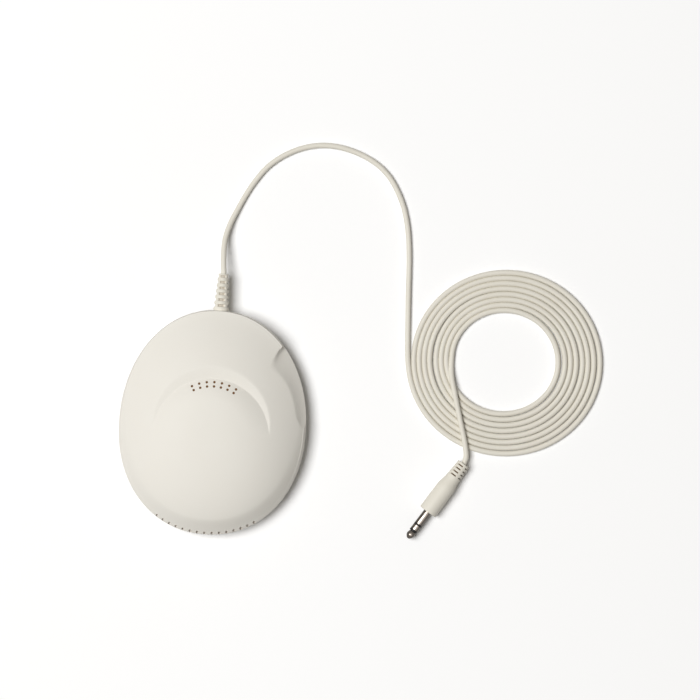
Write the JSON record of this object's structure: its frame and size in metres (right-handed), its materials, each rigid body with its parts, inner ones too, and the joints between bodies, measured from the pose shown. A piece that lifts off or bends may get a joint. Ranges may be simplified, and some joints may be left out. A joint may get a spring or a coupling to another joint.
{
  "type": "pillow speaker",
  "caption": "Flat oval pillow speaker with a domed plastic housing, a thin cord wound into a flat coil and a moulded jack plug.",
  "frame": {"origin": "centre of the housing's flat rear face, on the surface that it rests on", "axes": "+Z out of the domed grille side, +Y along the housing towards the cord's exit, +X to the right as seen from the grille side"},
  "size_m": [0.2035, 0.1694, 0.0225],
  "materials": {
    "housing_plastic": "satin ivory moulded plastic",
    "cord_pvc": "soft satin ivory vinyl",
    "plated_steel": "zinc plated sheet and screws",
    "nickel": "polished nickel plating",
    "ferrite": "sintered dark grey ferrite",
    "copper_wire": "enamelled copper",
    "solder": "bright solder",
    "brown_cloth": "dark brown woven grille cloth",
    "grey_foam": "closed cell foam",
    "clear_film": "milky polyester film",
    "board_laminate": "brown paper laminate",
    "red_core": "red insulated core",
    "black_core": "black insulated core",
    "black_insulator": "black moulded insulator"
  },
  "bodies": {
    "root": {"front_cover": "housing_plastic", "rear_cover": "housing_plastic", "case_screws": "plated_steel", "grille_cloth": "brown_cloth", "speaker_gasket": "grey_foam", "speaker_basket": "plated_steel", "speaker_diaphragm": "clear_film", "voice_coil": "copper_wire", "speaker_top_plate": "plated_steel", "speaker_magnet": "ferrite", "speaker_yoke": "plated_steel", "terminal_board": "board_laminate", "solder_joints": "solder", "coil_leads": "copper_wire", "clamp_washers": "plated_steel", "clamp_screws": "plated_steel", "core_wire_a": "red_core", "core_wire_b": "black_core", "cord_tail": "cord_pvc", "strain_relief": "cord_pvc", "cord_run": "cord_pvc", "cord_coil": "cord_pvc", "cord_end": "cord_pvc", "plug_body": "cord_pvc", "plug_collar": "nickel", "plug_sleeve": "nickel", "plug_ring": "nickel", "plug_tip": "nickel", "plug_insulators": "black_insulator"}
  },
  "joints": []
}
